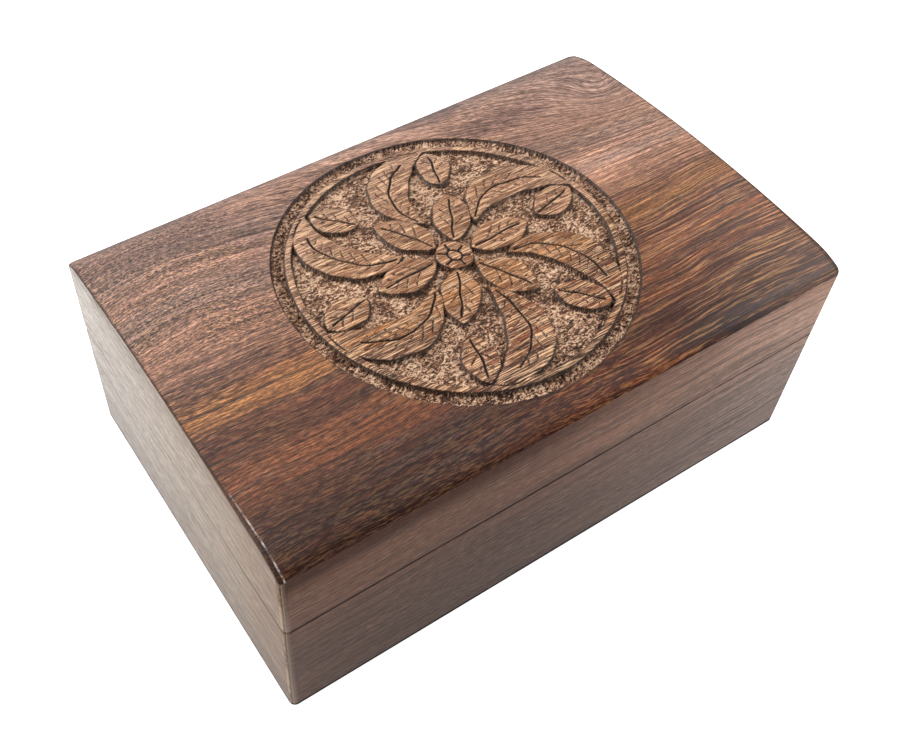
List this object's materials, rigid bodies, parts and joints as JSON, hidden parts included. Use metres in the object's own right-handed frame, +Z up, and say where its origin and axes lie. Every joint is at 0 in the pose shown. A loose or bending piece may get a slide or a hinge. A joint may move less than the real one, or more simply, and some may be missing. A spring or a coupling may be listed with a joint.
{
  "type": "dice box",
  "caption": "Rectangular wooden dice box; a crowned lid with a round carved leaf rosette swings up on butt hinges along the back edge.",
  "frame": {"origin": "middle of the underside, on the table", "axes": "+X along the length to the right, +Y from the front to the hinged back, +Z up"},
  "size_m": [0.1524, 0.1, 0.0635],
  "materials": {
    "rosewood_top": "satin, oiled; warm brown with dark streaks along the length; carved ground golden tan",
    "rosewood_side": "satin, straight grain along the length, grey brown",
    "rosewood_end": "matt, pale grey beige with fine pores",
    "rosewood_bottom": "plain sanded board",
    "felt": "short green felt, glued in",
    "hinge_brass": "satin brass",
    "screw_brass": "satin brass, slightly darker than the leaves"
  },
  "bodies": {
    "base": {"base_front": "rosewood_side", "base_back": "rosewood_side", "base_left": "rosewood_end", "base_right": "rosewood_end", "base_bottom": "rosewood_bottom", "base_lining": "felt", "hinge_left_base_leaf": "hinge_brass", "hinge_left_pin": "hinge_brass", "hinge_left_base_screws": "screw_brass", "hinge_right_base_leaf": "hinge_brass", "hinge_right_pin": "hinge_brass", "hinge_right_base_screws": "screw_brass"},
    "lid": {"lid_front": "rosewood_side", "lid_back": "rosewood_side", "lid_left": "rosewood_end", "lid_right": "rosewood_end", "lid_top": "rosewood_top", "lid_lining": "felt", "hinge_left_lid_leaf": "hinge_brass", "hinge_left_lid_screws": "screw_brass", "hinge_right_lid_leaf": "hinge_brass", "hinge_right_lid_screws": "screw_brass"}
  },
  "joints": [
    {"name": "lid_hinge", "type": "hinge", "parent": "base", "child": "lid", "pos_m": [0, 0.048, 0.0374], "axis": [-1, 0, 0], "range_deg": [0, 105]}
  ]
}
